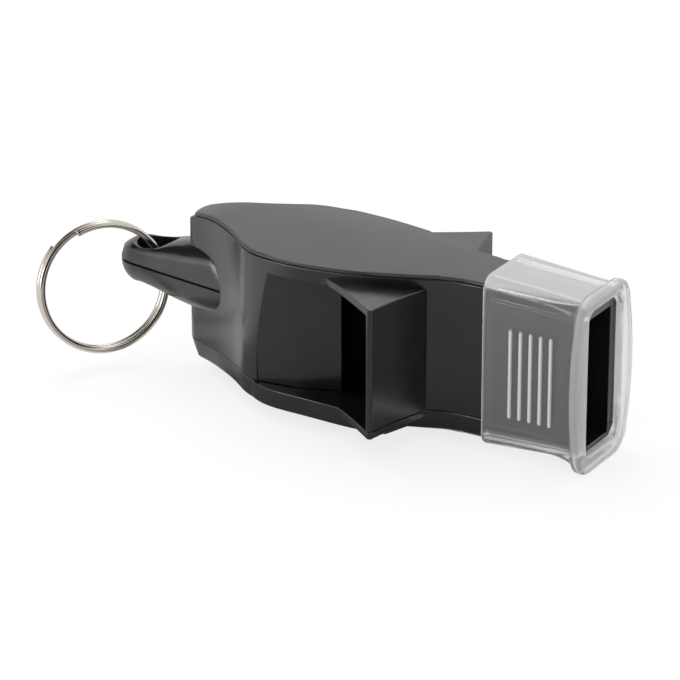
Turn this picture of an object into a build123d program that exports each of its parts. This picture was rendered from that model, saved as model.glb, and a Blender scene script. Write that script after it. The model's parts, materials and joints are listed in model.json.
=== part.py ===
from build123d import *
import math
import os

# Sports whistle: X runs to the mouth, Y across, Z up, and the base face lies on z = 0.

# Driving dimensions in mm
THICKNESS = 19.0            # base face to the rim of the top face, at its widest
CROWN = 0.6                 # how far the top face arches above that rim
TAIL_X = -23.5              # rear tip of the casing
MOUTH_X = 32.0              # plastic end that the lips close on
TAIL_RADIUS = 1.9           # rounding of the rear tip, seen from above
TAIL_SLOPE = 17.0           # degrees of the hollow rear faces where they leave the tip
CORNER_X = -12.2            # where the rear faces start to round into the sides
CORNER_HALF = 7.1           # half width there
SIDE_X = -8.8               # where that rounding ends
SIDE_SLOPE = 10.0           # degrees of the side just after the rounding
FLANK = [(-4.2, 8.95), (2.3, 8.15), (7.2, 6.95), (12.6, 5.0)]   # places that each curved side passes
TAIL_DRAFT = 1.2            # how far the rear tip slopes in from the low seam to the table
FOOT = [(-8.6, 9.1), (-2.3, 9.75), (5.0, 9.8), (9.2, 9.2)]      # wider edge of the bottom cover
FOOT_ENDS = [(-11.0, 7.4), (10.4, 5.4)]     # where that edge leaves the sides
NECK_X = 18.6               # where the curved sides become the straight mouthpiece
NECK_HALF = 4.0             # half width of the mouthpiece at its rear
MOUTH_HALF = 4.0            # half width of the mouthpiece at its end
MOUTH_TOP_STEP = 0.3        # top of the mouthpiece below the top face, at its end
MOUTH_BASE_STEP = 0.85      # its underside above the base face, at its end
NECK_BASE_STEP = 0.3        # and at its rear
WALL = 1.6                  # casing wall

# Side fins and the windows under them
FIN_DROP = 1.2              # upper fin cap below the top face
FIN_LIFT = 1.6              # lower fin cap above the base face
FIN_WALL = 0.9              # fin front wall and fin caps
FIN_ROOT = (-1.4, 7.4)      # where the fin's rear edge starts inside the side
FIN_REAR = (4.4, 10.7)      # a place on that edge
FIN_TIP = (9.5, 14.1)       # outermost corner
FIN_LAND = (0.6, 0.5)       # blunt front of the tip, along X and Y
FIN_LAND_BULGE = (0.45, 0.07)
FIN_HOLLOW = (11.15, 8.6)   # deepest place of the hollow front face
FIN_FRONT = (12.6, 4.0)     # where the front face ends inside the mouthpiece
RECESS_X = -9.0             # rear end of the recessed side wall
RECESS_HALF = 8.4           # that wall there, at its foot
RECESS_MIDDLE = (-4.0, 7.7)
RECESS_TOP_HALF = 9.0       # and at its top, where it runs out into the side
RECESS_TOP_MIDDLE = (-4.0, 8.6)
SIDE_WALL = 1.8             # thickness of the recessed side wall at its rear end
SOUND_EDGE = (1.1, 5.7)     # thin front edge of that wall
SOUND_EDGE_BACK = (0.5, 0.25)
WINDWAY_END = (8.6, 5.75)   # where the air leaves the windway, across the window
WINDWAY = 1.3               # width of the windway
WINDWAY_WALL = [(-6.1, -0.1), (-2.6, -0.75), (0.9, -1.1)]   # its outer wall, from the neck
SPLITTER_NOSE = -1.1        # front edge of the air splitter, from the neck
SPLITTER_SHOULDER = (-5.1, -1.55)
SPLITTER_LIP = 0.6          # how far the splitter ends behind the windway's outer wall

# Air chambers
SEPTUM_HALF = 0.6           # half thickness of the wall between the chambers
REAR_SOLID = 6.0            # solid tail behind the chambers
SPLITTER_TAIL_X = 6.5       # where the air splitter meets that wall
FLOOR_POCKET = 1.0          # depth of the airways in the bottom cover

# Tail lug and split ring
WIRE = 0.85                 # wire diameter
COIL_GAP = 0.45             # space between the turns of the wire
COIL_TURNS = 1.94
COIL_STEPS = 8              # stretches of about a quarter turn
SPLIT_TURN = 135.0          # degrees round the ring from the lug to the ends of its wire
RING_RADIUS = 7.85          # middle line of the wire
RING_TURN = 52.0            # degrees that the ring lies off the tail line, to the near side
RING_LEAN = 8.0             # degrees that the ring leans off upright
RING_SHIFT = 0.3            # how far the ring is pushed towards the casing in its hole
RING_LIFT = 0.1             # lowest point of the ring above the base face
HOLE_PLAY = 1.05            # room on each side of the wire in the lug's hole
HOLE_STRETCH = 1.2          # how much longer the hole is than wide
LUG_LENGTH = 9.9            # rear tip of the casing to the end of the lug
LUG_EMBED = 7.5             # how far the lug runs into the tail
LUG_TIP_WALL = 0.5          # lug beside the hole's width, at its end
LUG_ROOT_WALL = 1.9         # and at its root
LUG_TIP_HALF_HEIGHT = 1.8
LUG_ROOT_HALF_HEIGHT = 4.6
LUG_TIP_RISE = 1.5          # how far the lug's middle lies above the casing's, at its end
LUG_ROOT_RISE = 1.0         # and at its root
LUG_FLAT = 0.68             # flat share of the lug's top and underside
HOLE_SETBACK = 4.9          # end of the lug to the middle of its hole

# Covers and mouth
SEAM_LOW = 2.5              # top of the bottom cover
LID_EDGE = 0.45             # edge height of the top cover
LID_LIP = 1.25              # depth of the lip that locates the top cover
LID_INSET = 0.08            # shadow gap round the top cover
LID_SEAM = 0.05             # and under its edge
LIP_CLEARANCE = 0.05
BASE_DRAFT = 0.4            # inward slope of the bottom cover at the table
MOUTH_CHAMFER = 1.2         # long edges of the mouthpiece
RIM_WALL = 1.4              # plastic rim at the mouth
OPENING_CHAMFER = 1.0       # corners of the mouth opening
OPENING_DEPTH = 4.0

# Mouth grip
GRIP_X = 19.2               # rear rim
GRIP_CLEARANCE = 0.15
GRIP_WALL = 0.6
GRIP_TOP_RISE = 1.2         # thick top of the grip above the top face
GRIP_OVERHANG = 0.85        # how far the grip stands past the plastic
FLANGE_LENGTH = 1.1         # thickness of the bite flange
FLANGE_STEP = 0.3           # how far the flange's front edge is set back all round
FLANGE_RISE = 1.5           # flange above the top face and below the base face
FLANGE_BULGE = 2.6          # flange beside the mouthpiece, at its middle
FLANGE_SHOULDER = 2.1       # and at its corners
FLANGE_CORNER = 3.0
RIB_SETBACK = 3.9           # rear rim to the first rib
RIB_END_SPACE = 2.8         # least space from the last rib to the flange
RIB_PITCH = 1.3
RIB_HEIGHT = 11.2
RIB_WIDTH = 0.55
RIB_RISE = 0.35

MID = THICKNESS / 2
SEAM_HIGH = THICKNESS - LID_EDGE
SHELF_TOP = SEAM_HIGH - LID_LIP
CROWN_HALF = max(half for x, half in FLANK)
FIN_TOP = THICKNESS - FIN_DROP
SHELF_LOW = FIN_TOP - FIN_WALL
HOLE_WIDTH = 2 * WIRE + COIL_GAP + 2 * HOLE_PLAY
HOLE_LENGTH = HOLE_WIDTH + HOLE_STRETCH
LUG_TIP_X = TAIL_X - LUG_LENGTH
LUG_ROOT_X = TAIL_X + LUG_EMBED
HOLE_X = LUG_TIP_X + HOLE_SETBACK
GRIP_FRONT_X = MOUTH_X + GRIP_OVERHANG
BEYOND = 2 * (MOUTH_X - TAIL_X)     # larger than anything that a cutter has to pass


def slab(face, low, high):
    """A plan face made into a block between two heights."""
    return extrude(Pos(0, 0, low) * face, amount=high - low)


def polygon(points):
    return make_face(Polyline(*points, close=True))


def both_sides(shape):
    return shape + mirror(shape, about=Plane.XZ)


def moved_in(point, heading, inset):
    """A point of the far side's outline, moved towards the inside of the casing."""
    length = math.hypot(*heading)
    return (point[0] + inset * heading[1] / length, point[1] - inset * heading[0] / length)


def casing_plan(inset=0.0):
    """Outline of the casing seen from above, without fins and lug, or a smaller one inside it."""
    tip_middle = TAIL_X + TAIL_RADIUS
    tail_slope = math.radians(TAIL_SLOPE)
    rear = (math.cos(tail_slope), math.sin(tail_slope))
    leave = (tip_middle - TAIL_RADIUS * rear[1], TAIL_RADIUS * rear[0])
    corner = (CORNER_X, CORNER_HALF)
    corner_slope = 2 * math.atan2(CORNER_HALF - leave[1], CORNER_X - leave[0]) - tail_slope
    turning = (math.cos(corner_slope), math.sin(corner_slope))
    start = (math.cos(math.radians(SIDE_SLOPE)), math.sin(math.radians(SIDE_SLOPE)))
    end = (MOUTH_X - NECK_X, MOUTH_HALF - NECK_HALF)
    chord = (corner_slope + math.radians(SIDE_SLOPE)) / 2
    side = (SIDE_X, CORNER_HALF + (SIDE_X - CORNER_X) * math.tan(chord))
    flank = [side] + FLANK + [(NECK_X, NECK_HALF)]
    headings = [(after[0] - before[0], after[1] - before[1]) for before, after in zip(flank, flank[2:])]
    curve = [moved_in(point, heading, inset) for point, heading in zip(flank, [start] + headings + [end])]
    tangent_start = moved_in(leave, rear, inset)
    tangent_end = moved_in(corner, turning, inset)
    lip = (MOUTH_X, MOUTH_HALF - inset)
    half = [
        TangentArc(tangent_start, tangent_end, tangent=rear),
        TangentArc(tangent_end, curve[0], tangent=turning),
        Spline(*curve, tangents=[start, end]),
        Line(curve[-1], lip),
    ]
    tip = ThreePointArc((tangent_start[0], -tangent_start[1]), (TAIL_X + inset, 0), tangent_start)
    front = Line((lip[0], -lip[1]), lip)
    return make_face([tip, front] + half + [mirror(edge, about=Plane.XZ) for edge in half])


def foot_plan():
    """Outline of one wider edge of the bottom cover, under the side and the window."""
    edge = Spline(FOOT_ENDS[0], *FOOT)
    return make_face([edge, Line(FOOT[-1], FOOT_ENDS[1]), Line(FOOT_ENDS[1], FOOT_ENDS[0])])


def fin_plan():
    """Outline of one fin, from the casing's flank out to the tip and back in to the mouthpiece."""
    blunt = (FIN_TIP[0] + FIN_LAND_BULGE[0], FIN_TIP[1] - FIN_LAND_BULGE[1])
    outer = (FIN_TIP[0] + FIN_LAND[0], FIN_TIP[1] - FIN_LAND[1])
    edges = [
        Spline(FIN_ROOT, FIN_REAR, FIN_TIP),
        ThreePointArc(FIN_TIP, blunt, outer),
        ThreePointArc(outer, FIN_HOLLOW, FIN_FRONT),
        Line(FIN_FRONT, FIN_ROOT),
    ]
    return make_face(edges)


def airway_plan():
    """Chamber, window, windway and mouth channel on one side of the middle line."""
    chamber_x = TAIL_X + REAR_SOLID
    rear_room = polygon([
        (chamber_x, SEPTUM_HALF), (chamber_x, BEYOND), (RECESS_X, BEYOND), (RECESS_X, SEPTUM_HALF),
    ])
    front_room = polygon([
        (RECESS_X, SEPTUM_HALF), (RECESS_X, RECESS_HALF - SIDE_WALL),
        (SOUND_EDGE[0] - SOUND_EDGE_BACK[0], SOUND_EDGE[1] - SOUND_EDGE_BACK[1]),
        SOUND_EDGE, WINDWAY_END, *[(NECK_X + x, NECK_HALF + y) for x, y in WINDWAY_WALL],
        (MOUTH_X, MOUTH_HALF - RIM_WALL), (MOUTH_X, 0), (NECK_X + SPLITTER_NOSE, 0),
        (NECK_X + SPLITTER_SHOULDER[0], NECK_HALF + SPLITTER_SHOULDER[1]),
        (WINDWAY_END[0] - SPLITTER_LIP, WINDWAY_END[1] - WINDWAY), (SPLITTER_TAIL_X, SEPTUM_HALF),
    ])
    return (rear_room & casing_plan(WALL)) + front_room


def recess_plan(rear_half, middle):
    """Space outside one recessed side wall at one height, out to the open window under the fin."""
    return polygon([
        (RECESS_X, BEYOND), (RECESS_X, rear_half), middle, SOUND_EDGE, WINDWAY_END,
        (FIN_HOLLOW[0] - FIN_WALL / 2, WINDWAY_END[1] + FIN_WALL),
        (FIN_HOLLOW[0] - FIN_WALL, FIN_HOLLOW[1] + FIN_WALL),
        (FIN_TIP[0] - FIN_WALL / 3, FIN_TIP[1] - FIN_WALL), (FIN_TIP[0] - FIN_WALL / 2, BEYOND),
    ])


def recess():
    """Space outside one recessed side wall, which slopes out to the side towards its top."""
    foot = Pos(0, 0, SEAM_LOW) * recess_plan(RECESS_HALF, RECESS_MIDDLE)
    top = Pos(0, 0, SHELF_LOW) * recess_plan(RECESS_TOP_HALF, RECESS_TOP_MIDDLE)
    return loft([foot, top], ruled=True)


def crown(drop=0.0):
    """All the space under the arched top face, or under a face that lies lower by drop."""
    radius = (CROWN_HALF ** 2 + CROWN ** 2) / (2 * CROWN)
    arch = Cylinder(radius - drop, 2 * BEYOND, rotation=(0, 90, 0))
    return Pos(0, 0, THICKNESS + CROWN - radius) * arch


def across(x, z):
    """Plane that looks along X, with Y to its right and Z up."""
    return Plane(origin=(x, 0, z), x_dir=(0, 1, 0), z_dir=(1, 0, 0))


def octagon(x, half_width, low, high, corner):
    """Rectangle with cut corners, standing across the whistle at x between two heights."""
    half_height = (high - low) / 2
    inner_y = half_width - corner
    inner_z = half_height - corner
    half = [(half_width, -inner_z), (half_width, inner_z), (inner_y, half_height), (-inner_y, half_height)]
    return across(x, (low + high) / 2) * polygon(half + [(-y, -z) for y, z in half])


def along_mouthpiece(x, rear, front):
    """A size of the mouthpiece at x, from its values at the rear and at the mouth."""
    return rear + (x - NECK_X) / (MOUTH_X - NECK_X) * (front - rear)


def mouthpiece_half(x):
    """Half width of the mouthpiece at x."""
    return along_mouthpiece(x, NECK_HALF, MOUTH_HALF)


def mouth_section(x, growth=0.0, top_rise=0.0):
    """Section of the mouthpiece at x, grown on every side and raised at the top."""
    low = along_mouthpiece(x, NECK_BASE_STEP, MOUTH_BASE_STEP) - growth
    high = THICKNESS - along_mouthpiece(x, 0, MOUTH_TOP_STEP) + growth
    return octagon(x, mouthpiece_half(x) + growth, low, high + top_rise, MOUTH_CHAMFER)


def mouth_envelope():
    """All the space behind the grip, and the chamfered mouthpiece inside it."""
    start = GRIP_X - GRIP_CLEARANCE
    rear = Pos(start - BEYOND, 0, MID) * Box(2 * BEYOND, 2 * BEYOND, 2 * BEYOND)
    return rear + loft([mouth_section(x) for x in (start, MOUTH_X)], ruled=True)


def mouth_opening():
    """The end of the mouth channel, through casing and covers."""
    half_width = MOUTH_HALF - RIM_WALL
    low = MOUTH_BASE_STEP + RIM_WALL
    high = THICKNESS - MOUTH_TOP_STEP - RIM_WALL
    return extrude(octagon(MOUTH_X - OPENING_DEPTH, half_width, low, high, OPENING_CHAMFER), amount=BEYOND)


def lug_middle(x):
    """Height of the lug's ridge at x."""
    share = (x - LUG_ROOT_X) / (LUG_TIP_X - LUG_ROOT_X)
    return MID + LUG_ROOT_RISE + share * (LUG_TIP_RISE - LUG_ROOT_RISE)


def lug_section(x, half_width, half_height):
    """Section of the lug at x: flat above and below, with a ridge on each side."""
    flat = LUG_FLAT * half_width
    top = [(half_width, 0), (flat, half_height), (-flat, half_height)]
    return across(x, lug_middle(x)) * polygon(top + [(-y, -z) for y, z in top])


def tail_lug():
    """Tapered lug with a rounded end and a hole for the split ring."""
    root_half = HOLE_WIDTH / 2 + LUG_ROOT_WALL
    tip_half = HOLE_WIDTH / 2 + LUG_TIP_WALL
    wedge = loft([
        lug_section(LUG_ROOT_X, root_half, LUG_ROOT_HALF_HEIGHT),
        lug_section(LUG_TIP_X, tip_half, LUG_TIP_HALF_HEIGHT),
    ], ruled=True)
    end_radius = tip_half / (1 - (root_half - tip_half) / (LUG_ROOT_X - LUG_TIP_X))
    end_x = LUG_TIP_X + end_radius
    plan = Pos(end_x, 0) * Circle(end_radius)
    plan += polygon([(end_x, BEYOND), (end_x, -BEYOND), (BEYOND, -BEYOND), (BEYOND, BEYOND)])
    return wedge & slab(plan, 0, THICKNESS)


def casing():
    """Centre moulding: walls, fins, septum, air splitter and lug in one piece."""
    shape = slab(casing_plan(), SEAM_LOW, THICKNESS + CROWN) & crown(LID_EDGE)
    shape += slab(both_sides(fin_plan()), SEAM_LOW, FIN_TOP)
    shape += tail_lug()
    shape -= slab(casing_plan(WALL), SHELF_TOP, THICKNESS + CROWN)
    shape -= slab(both_sides(airway_plan()), SEAM_LOW, SHELF_TOP)
    shape -= both_sides(recess())
    shape -= slab(Pos(HOLE_X, 0) * SlotOverall(HOLE_LENGTH, HOLE_WIDTH), 0, THICKNESS)
    shape &= mouth_envelope()
    return shape - mouth_opening()


def top_cover():
    """Arched lid with a lip that drops inside the casing's rim."""
    shape = slab(casing_plan(LID_INSET), SHELF_TOP, THICKNESS + CROWN) - crown(LID_EDGE - LID_SEAM)
    shape += slab(casing_plan(WALL + LIP_CLEARANCE), SHELF_TOP, THICKNESS + CROWN)
    shape &= crown()
    shape &= mouth_envelope()
    return shape - mouth_opening()


def bottom_cover():
    """Floor plate with the lower fin caps and a base that slopes in to the table."""
    shape = slab(casing_plan() + both_sides(foot_plan()), 0, SEAM_LOW)
    base_edges = shape.faces().sort_by(Axis.Z)[0].outer_wire().edges()
    shape = chamfer(base_edges, BASE_DRAFT)
    tail_x = TAIL_X + TAIL_DRAFT
    behind = [
        (TAIL_X, SEAM_LOW), (tail_x, 0), (tail_x, -BEYOND),
        (TAIL_X - BEYOND, -BEYOND), (TAIL_X - BEYOND, SEAM_LOW),
    ]
    shape -= extrude(Plane.XZ * polygon(behind), amount=BEYOND, both=True)
    shape += slab(both_sides(fin_plan()), FIN_LIFT, SEAM_LOW)
    shape -= slab(both_sides(airway_plan()), SEAM_LOW - FLOOR_POCKET, SEAM_LOW)
    shape &= mouth_envelope()
    return shape - mouth_opening()


def flange_outline():
    """Bite flange seen from the mouth: bulged sides between four rounded corners."""
    half_height = MID + FLANGE_RISE
    side = MOUTH_HALF + FLANGE_SHOULDER
    low = half_height - FLANGE_CORNER
    inner = side - FLANGE_CORNER
    bend = FLANGE_CORNER * (1 - math.sqrt(0.5))
    right = [
        ThreePointArc((side, -low), (MOUTH_HALF + FLANGE_BULGE, 0), (side, low)),
        ThreePointArc((side, low), (side - bend, half_height - bend), (inner, half_height)),
        ThreePointArc((side, -low), (side - bend, bend - half_height), (inner, -half_height)),
    ]
    left = [mirror(edge, about=Plane.YZ) for edge in right]
    level = [Line((-inner, z), (inner, z)) for z in (half_height, -half_height)]
    return make_face(right + left + level)


def grip_rib(x, reach):
    """One upright rib with round ends on the near side of the sleeve."""
    plane = Plane(origin=(x, -reach, MID), x_dir=(0, 0, 1), z_dir=(0, 1, 0))
    return extrude(plane * SlotOverall(RIB_HEIGHT, RIB_WIDTH), amount=RIB_RISE + GRIP_WALL / 2)


def mouth_grip():
    """Soft sleeve with a bite flange at the front and ribs on both sides."""
    outside = GRIP_CLEARANCE + GRIP_WALL
    top_rise = GRIP_TOP_RISE - outside
    shape = loft([mouth_section(x, outside, top_rise) for x in (GRIP_X, GRIP_FRONT_X)], ruled=True)
    flange_x = GRIP_FRONT_X - FLANGE_LENGTH
    outline = flange_outline()
    shape += extrude(across(flange_x, MID) * outline, amount=FLANGE_LENGTH - FLANGE_STEP)
    shape += extrude(across(flange_x, MID) * offset(outline, -FLANGE_STEP), amount=FLANGE_LENGTH)
    first_rib = GRIP_X + RIB_SETBACK
    rib_count = 1 + int((flange_x - RIB_END_SPACE - first_rib) / RIB_PITCH)
    for number in range(rib_count):
        x = first_rib + number * RIB_PITCH
        shape += both_sides(grip_rib(x, mouthpiece_half(x) + outside + RIB_RISE))
    bore_ends = (GRIP_X - GRIP_WALL, GRIP_FRONT_X + GRIP_WALL)
    return shape - loft([mouth_section(x, GRIP_CLEARANCE) for x in bore_ends], ruled=True)


def coil_point(turn):
    """Place and direction of the ring's wire after so many turns, with the coil's axis along Z."""
    angle = 2 * math.pi * turn + math.radians(SPLIT_TURN)
    pitch = WIRE + COIL_GAP
    height = pitch * (turn - COIL_TURNS / 2)
    place = Vector(RING_RADIUS * math.cos(angle), RING_RADIUS * math.sin(angle), height)
    rise = pitch / (2 * math.pi)
    heading = Vector(-RING_RADIUS * math.sin(angle), RING_RADIUS * math.cos(angle), rise)
    return place, heading.normalized()


def biarc(start, start_heading, end, end_heading):
    """Two arcs that join two places smoothly with the given headings."""
    span = end - start
    both = start_heading + end_heading
    bend = 2 * (1 - start_heading.dot(end_heading))
    along = span.dot(both)
    reach = (-along + math.sqrt(along * along + bend * span.dot(span))) / bend
    first = start + start_heading * reach
    second = end - end_heading * reach
    middle = (first + second) * 0.5
    leave = TangentArc(start, middle, tangent=start_heading)
    arrive = TangentArc(middle, end, tangent=second - first)
    return [leave, arrive]


def split_ring():
    """Two turns of round wire, through the hole of the lug."""
    stations = [coil_point(COIL_TURNS * step / COIL_STEPS) for step in range(COIL_STEPS + 1)]
    path = []
    for (start, start_heading), (end, end_heading) in zip(stations, stations[1:]):
        path += biarc(start, start_heading, end, end_heading)
    place, heading = stations[0]
    section = Plane(origin=place, z_dir=heading) * Circle(WIRE / 2)
    return sweep(section, path=Wire(path))


def coil_clearance():
    """Least space between the surface of one turn and the next, measured on points."""
    count = 400
    points = [coil_point(COIL_TURNS * step / count)[0] for step in range(count + 1)]
    apart = count // 4
    later = [(points[a], point) for a in range(count + 1) for point in points[a + apart:]]
    return min((one - other).length for one, other in later) - WIRE


def placed_ring():
    """The split ring hung in the lug's hole, leaning and turned to the near side."""
    lean = math.radians(RING_LEAN)
    coil_half = (WIRE + COIL_GAP) * COIL_TURNS / 2
    centre_z = RING_RADIUS * math.cos(lean) + WIRE / 2 + coil_half * math.sin(lean) + RING_LIFT
    climb = math.asin((lug_middle(HOLE_X) - centre_z) / (RING_RADIUS * math.cos(lean)))
    back = RING_RADIUS * math.cos(climb) - RING_SHIFT
    aside = RING_RADIUS * math.sin(climb) * math.sin(lean)
    hung = Rot(90 - RING_LEAN, 0, 0) * split_ring()
    return Pos(HOLE_X, 0, centre_z) * Rot(0, 0, RING_TURN) * Pos(-back, -aside, 0) * hung


NODES = {
    "casing": casing(),
    "top_cover": top_cover(),
    "bottom_cover": bottom_cover(),
    "mouth_grip": mouth_grip(),
    "split_ring": placed_ring(),
}

os.makedirs("parts", exist_ok=True)
for name, shape in NODES.items():
    export_step(shape, "parts/" + name + ".step")
    print(name, "volume", round(shape.volume, 1), "solids", len(shape.solids()))
print("split ring gap between turns", round(coil_clearance(), 3), "mm")
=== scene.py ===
import json
import math

import bmesh
import bpy
from bpy.props import FloatProperty, IntProperty, PointerProperty, StringProperty
from bpy.types import Operator, Panel, PropertyGroup
from mathutils import Matrix, Vector, noise


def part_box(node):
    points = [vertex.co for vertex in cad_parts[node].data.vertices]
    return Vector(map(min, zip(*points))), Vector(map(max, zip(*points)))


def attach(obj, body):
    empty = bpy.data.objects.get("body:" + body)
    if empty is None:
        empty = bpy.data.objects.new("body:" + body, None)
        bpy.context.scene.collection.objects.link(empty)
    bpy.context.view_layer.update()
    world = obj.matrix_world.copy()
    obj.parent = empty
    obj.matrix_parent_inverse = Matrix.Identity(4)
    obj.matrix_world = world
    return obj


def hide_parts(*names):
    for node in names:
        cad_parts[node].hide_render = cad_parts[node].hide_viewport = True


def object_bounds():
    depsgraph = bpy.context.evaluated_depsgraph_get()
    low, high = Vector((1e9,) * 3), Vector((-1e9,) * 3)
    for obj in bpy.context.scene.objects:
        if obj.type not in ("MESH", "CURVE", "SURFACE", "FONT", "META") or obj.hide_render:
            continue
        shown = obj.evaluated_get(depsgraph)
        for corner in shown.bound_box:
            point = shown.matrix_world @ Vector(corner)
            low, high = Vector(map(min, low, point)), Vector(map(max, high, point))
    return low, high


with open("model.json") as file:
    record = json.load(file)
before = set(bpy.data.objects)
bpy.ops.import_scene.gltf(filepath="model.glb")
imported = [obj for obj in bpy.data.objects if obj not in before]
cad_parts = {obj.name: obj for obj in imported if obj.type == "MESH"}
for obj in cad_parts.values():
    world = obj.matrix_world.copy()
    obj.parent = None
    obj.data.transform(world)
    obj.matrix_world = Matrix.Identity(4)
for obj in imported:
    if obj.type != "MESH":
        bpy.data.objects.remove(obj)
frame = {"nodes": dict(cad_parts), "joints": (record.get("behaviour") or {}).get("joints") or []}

bl_info = {
    "name": "Sports Whistle",
    "version": (1, 0, 0),
    "blender": (4, 5, 0),
    "location": "View3D > Sidebar > Whistle",
    "description": "Dresses a pealess sports whistle with a clear mouth grip and a split ring",
    "category": "Add Mesh",
}

MM = 0.001
CAD_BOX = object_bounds()
GRIP_LOW, GRIP_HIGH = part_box("mouth_grip")
LUG_TIP_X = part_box("casing")[0].x
MOUTH_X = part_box("casing")[1].x
TAIL_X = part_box("bottom_cover")[0].x
SEAM_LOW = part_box("bottom_cover")[1].z
MID_HEIGHT = (GRIP_LOW.z + GRIP_HIGH.z) / 2
BODY_TOP = 2 * MID_HEIGHT
MERGE_DISTANCE = 0.002 * MM
CUT_DISTANCE = 0.001 * MM
FLAT_ANGLE = math.radians(0.6)
MOULDING_CRISP = math.radians(40)
ROUND_CRISP = math.radians(50)


# Sizes and colours

class WhistleSizes(PropertyGroup):
    """Sizes of the details that the solids leave out."""

    edge_round: FloatProperty(
        name="Edge rounding", description="Radius on the crisp edges of the black mouldings",
        default=0.16 * MM, unit="LENGTH", subtype="DISTANCE")
    lid_round: FloatProperty(
        name="Lid rounding", description="Radius round the rim of the top cover",
        default=0.28 * MM, unit="LENGTH", subtype="DISTANCE")
    tail_fall: FloatProperty(
        name="Tail fall", description="How far the top face comes down to the rear tip",
        default=1.1 * MM, unit="LENGTH", subtype="DISTANCE")
    hole_dip: FloatProperty(
        name="Hole dip", description="How far the rim of the lug's hole is rounded down",
        default=0.25 * MM, unit="LENGTH", subtype="DISTANCE")
    grip_wall: FloatProperty(
        name="Grip wall", description="Thickness of the grip's sides at the rear",
        default=0.75 * MM, unit="LENGTH", subtype="DISTANCE")
    rib_count: IntProperty(
        name="Grip ribs", description="Upright ribs on each side of the grip", default=5, min=0, max=6)
    rib_rise: FloatProperty(
        name="Rib rise", description="How far a rib stands out of the grip's side",
        default=0.3 * MM, unit="LENGTH", subtype="DISTANCE")
    wire: FloatProperty(
        name="Ring wire", description="Diameter of the split ring's wire",
        default=0.85 * MM, unit="LENGTH", subtype="DISTANCE")
    ring_turns: FloatProperty(
        name="Ring turns", description="Turns of wire in the split ring", default=1.94)


class WhistleColours(PropertyGroup):
    """Colours of the finishes, as sRGB hex values. The lid's two colours hold painted light as well."""

    plastic: StringProperty(
        name="Casing", description="Black of the glossy mouldings", default="#131314")
    plastic_flow: StringProperty(
        name="Casing flow", description="Lighter flow marks in the black", default="#1A1A1B")
    # The lid's greys are lighter than the casing's black partly for its satin grain and partly as
    # painted light, the sheen of its brightly lit top face
    lid: StringProperty(
        name="Lid", description="Black of the finely textured lid", default="#363637")
    lid_flow: StringProperty(
        name="Lid flow", description="Lighter patches of the lid", default="#3E3E3F")
    silicone: StringProperty(
        name="Grip", description="Tint of the clear silicone", default="#EEEFEE")
    nickel: StringProperty(
        name="Ring", description="Warm grey of the nickel plating", default="#C8C2B8")
    floor: StringProperty(
        name="Floor", description="Pale floor under the whistle", default="#F2F2F2")


# Small tools

def linear(text):
    """Linear RGBA of an sRGB hex colour."""
    channels = [int(text[start:start + 2], 16) / 255 for start in (1, 3, 5)]
    return [c / 12.92 if c <= 0.04045 else ((c + 0.055) / 1.055) ** 2.4 for c in channels] + [1.0]


def add_node(tree, kind, inputs=(), **settings):
    """One node with its settings; an input is a value, or the socket that feeds it."""
    added = tree.nodes.new(kind)
    for name, value in settings.items():
        setattr(added, name, value)
    for name, value in dict(inputs).items():
        if isinstance(value, bpy.types.NodeSocket):
            tree.links.new(value, added.inputs[name])
        else:
            added.inputs[name].default_value = value
    return added


def new_material(name):
    """Empty node material, its tree and its output node."""
    material = bpy.data.materials.new(name)
    material.use_nodes = True
    material.node_tree.nodes.clear()
    return material, material.node_tree, add_node(material.node_tree, "ShaderNodeOutputMaterial")


def per_mm(size):
    """Texture scale whose pattern repeats about every size, given in millimetres."""
    return 1 / (size * MM)


def new_piece(name, mesh_edit, material, body, slot, *nodes):
    """Object of a finished bmesh, riding on a body and standing for CAD nodes."""
    mesh = bpy.data.meshes.new(name)
    mesh_edit.to_mesh(mesh)
    mesh_edit.free()
    mesh.materials.append(material)
    piece = bpy.data.objects.new(name, mesh)
    bpy.context.scene.collection.objects.link(piece)
    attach(piece, body)
    if nodes:
        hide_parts(*nodes)
    return piece


def merged_copy(node):
    """Copy of a CAD node's mesh with its doubles merged and its flat faces joined."""
    mesh_edit = bmesh.new()
    mesh_edit.from_mesh(frame["nodes"][node].data)
    bmesh.ops.remove_doubles(mesh_edit, verts=mesh_edit.verts, dist=MERGE_DISTANCE)
    bmesh.ops.dissolve_limit(
        mesh_edit, angle_limit=FLAT_ANGLE, verts=mesh_edit.verts, edges=mesh_edit.edges)
    return mesh_edit


def round_edges(mesh_edit, edges, radius, segments):
    """Rounds the given edges."""
    bmesh.ops.bevel(
        mesh_edit, geom=edges, offset=radius, offset_type="OFFSET", affect="EDGES",
        segments=segments, profile=0.5, material=-1, clamp_overlap=False)


def shade(mesh_edit):
    """Smooth shading of a moulding, crisp at its clear edges."""
    for face in mesh_edit.faces:
        face.smooth = True
    for edge in mesh_edit.edges:
        edge.smooth = edge.calc_face_angle(0) < MOULDING_CRISP


def keep_flat(piece):
    """Normals that keep flat faces flat beside rounded edges."""
    weighted = piece.modifiers.new("flat faces", "WEIGHTED_NORMAL")
    weighted.keep_sharp = True


def shade_round(piece):
    """Smooth shading of a round piece, crisp at its clear edges."""
    piece.data.shade_smooth()
    piece.data.set_sharp_from_angle(angle=ROUND_CRISP)


# Materials

# Draw lines of the wire in millimetres, as its UV map is
DRAW_LINE_LENGTH = 3.125
DRAW_LINE_PITCH = 1 / 24
# What the camera sees of the floor: a share that glows, and a share that takes light and shadow
FLOOR_GLOW = 0.78
FLOOR_TAKES = 0.24


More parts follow.
